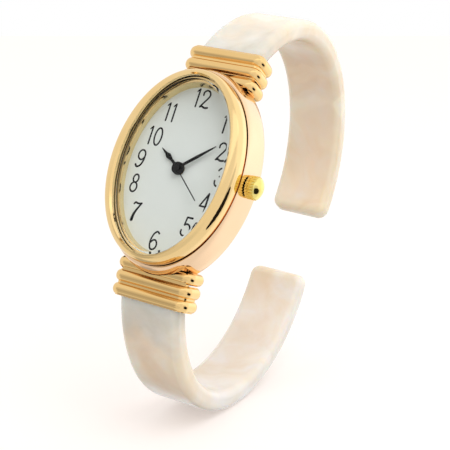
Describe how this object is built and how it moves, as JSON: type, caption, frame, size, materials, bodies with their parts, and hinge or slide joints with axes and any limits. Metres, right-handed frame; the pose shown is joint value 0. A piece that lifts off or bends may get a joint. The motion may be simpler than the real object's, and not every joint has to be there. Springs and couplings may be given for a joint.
{
  "type": "wristwatch",
  "caption": "Oval gold-tone quartz dress watch on a sprung two-piece marbled acrylic cuff, with ribbed ferrules, a fluted crown and a pale numbered dial.",
  "frame": {"origin": "middle of the case back's outer face, the face that lies on the wrist", "axes": "+Y out of the case back towards the wrist, so the dial faces -Y; +Z towards 12 o'clock; +X towards 3 o'clock and the crown"},
  "size_m": [0.025, 0.0512, 0.0672],
  "materials": {
    "gold_case": "polished yellow gold plate",
    "gold_ribs": "polished yellow gold plate",
    "gold_crown": "polished yellow gold plate",
    "gold_flange": "satin gold",
    "case_back_steel": "brushed",
    "pearl_acrylic": "polished, marbled ivory",
    "crystal_glass": "clear and polished",
    "dial_enamel": "satin pale green-grey",
    "black_hands": "satin black",
    "plate_brass": "grained",
    "wheel_brass": "polished",
    "holder_plastic": "moulded white",
    "small_plastic": "moulded",
    "steel": "bright",
    "spring_steel": "drawn wire",
    "soft_iron": "annealed",
    "copper_wire": "enamelled wire",
    "board": "green lacquer",
    "chip": "moulded black",
    "quartz_shell": "bright",
    "cell_steel": "bright",
    "seal_rubber": "matte",
    "seal_nylon": "satin"
  },
  "bodies": {
    "case": {"case_body": "gold_case", "case_back": "case_back_steel", "case_back_gasket": "seal_rubber", "dial": "dial_enamel", "dial_flange": "gold_flange", "bezel": "gold_case", "crystal_gasket": "seal_nylon", "crystal": "crystal_glass", "movement_holder": "holder_plastic", "main_plate": "plate_brass", "train_bridge": "plate_brass", "movement_screws": "steel", "dial_washer": "plate_brass", "stator": "soft_iron", "coil_core": "soft_iron", "coil_winding": "copper_wire", "circuit_board": "board", "ic_chip": "chip", "quartz_can": "quartz_shell", "battery": "cell_steel", "battery_clamp": "steel", "battery_contact": "cell_steel", "crown_tube": "wheel_brass", "upper_hinge_barrel": "gold_ribs", "lower_hinge_barrel": "gold_ribs", "upper_hinge_pin": "steel", "lower_hinge_pin": "steel", "upper_hinge_spring": "spring_steel", "lower_hinge_spring": "spring_steel"},
    "upper_cuff_half": {"upper_ferrule": "gold_ribs", "upper_arm": "pearl_acrylic", "upper_arm_rivet": "steel"},
    "lower_cuff_half": {"lower_ferrule": "gold_ribs", "lower_arm": "pearl_acrylic", "lower_arm_rivet": "steel"},
    "stem_slide": {"setting_lever": "steel"},
    "crown_and_stem": {"crown": "gold_crown", "winding_stem": "steel", "clutch_wheel": "steel", "crown_ring": "seal_rubber"},
    "seconds": {"fourth_wheel": "wheel_brass", "second_hand": "black_hands"},
    "minutes": {"centre_wheel": "wheel_brass", "minute_hand": "black_hands"},
    "hours": {"hour_wheel": "wheel_brass", "hour_hand": "black_hands"},
    "rotor": {"rotor": "small_plastic"},
    "fifth_wheel": {"fifth_wheel": "small_plastic"},
    "third_wheel": {"third_wheel": "wheel_brass"},
    "minute_wheel": {"minute_wheel": "wheel_brass"},
    "setting_wheel": {"setting_wheel": "wheel_brass"}
  },
  "joints": [
    {"name": "upper_hinge", "type": "hinge", "parent": "case", "child": "upper_cuff_half", "pos_m": [0, -0.00305, 0.01545], "axis": [1, 0, 0], "range_deg": [0, 22], "stiffness_Nm_per_rad": 0.05, "springref_deg": -28.65},
    {"name": "lower_hinge", "type": "hinge", "parent": "case", "child": "lower_cuff_half", "pos_m": [0, -0.00305, -0.01545], "axis": [-1, 0, 0], "range_deg": [0, 22], "stiffness_Nm_per_rad": 0.05, "springref_deg": -28.65},
    {"name": "crown_pull", "type": "slide", "parent": "case", "child": "stem_slide", "axis": [1, 0, 0], "range_m": [0, 0.0008]},
    {"name": "crown_turn", "type": "hinge", "parent": "stem_slide", "child": "crown_and_stem", "pos_m": [0.0115, -0.0039, 0], "axis": [1, 0, 0], "continuous": true},
    {"name": "second_hand_turn", "type": "hinge", "parent": "case", "child": "seconds", "pos_m": [0, -0.003, 0], "axis": [0, 1, 0], "continuous": true},
    {"name": "minute_hand_turn", "type": "hinge", "parent": "case", "child": "minutes", "pos_m": [0, -0.003, 0], "axis": [0, 1, 0], "continuous": true},
    {"name": "hour_hand_turn", "type": "hinge", "parent": "case", "child": "hours", "pos_m": [0, -0.003, 0], "axis": [0, 1, 0], "continuous": true},
    {"name": "rotor_turn", "type": "hinge", "parent": "case", "child": "rotor", "pos_m": [0.00155, -0.003, 0.0032], "axis": [0, 1, 0], "continuous": true},
    {"name": "fifth_wheel_turn", "type": "hinge", "parent": "case", "child": "fifth_wheel", "pos_m": [0.00184, -0.003, 0.00154], "axis": [0, 1, 0], "continuous": true},
    {"name": "third_wheel_turn", "type": "hinge", "parent": "case", "child": "third_wheel", "pos_m": [-0.00222, -0.003, 0.00039], "axis": [0, 1, 0], "continuous": true},
    {"name": "minute_wheel_turn", "type": "hinge", "parent": "case", "child": "minute_wheel", "pos_m": [0.0017, -0.003, -0.0017], "axis": [0, 1, 0], "continuous": true},
    {"name": "setting_wheel_turn", "type": "hinge", "parent": "case", "child": "setting_wheel", "pos_m": [0.00488, -0.003, -0.00198], "axis": [0, 1, 0], "continuous": true}
  ],
  "couplings": [
    {"joint": "minute_hand_turn", "follows": "second_hand_turn", "ratio": 0.016667},
    {"joint": "hour_hand_turn", "follows": "second_hand_turn", "ratio": 0.0013889},
    {"joint": "third_wheel_turn", "follows": "second_hand_turn", "ratio": -0.13333},
    {"joint": "fifth_wheel_turn", "follows": "second_hand_turn", "ratio": -5},
    {"joint": "rotor_turn", "follows": "second_hand_turn", "ratio": 30},
    {"joint": "minute_wheel_turn", "follows": "second_hand_turn", "ratio": -0.0055556},
    {"joint": "setting_wheel_turn", "follows": "second_hand_turn", "ratio": 0.0071429}
  ]
}
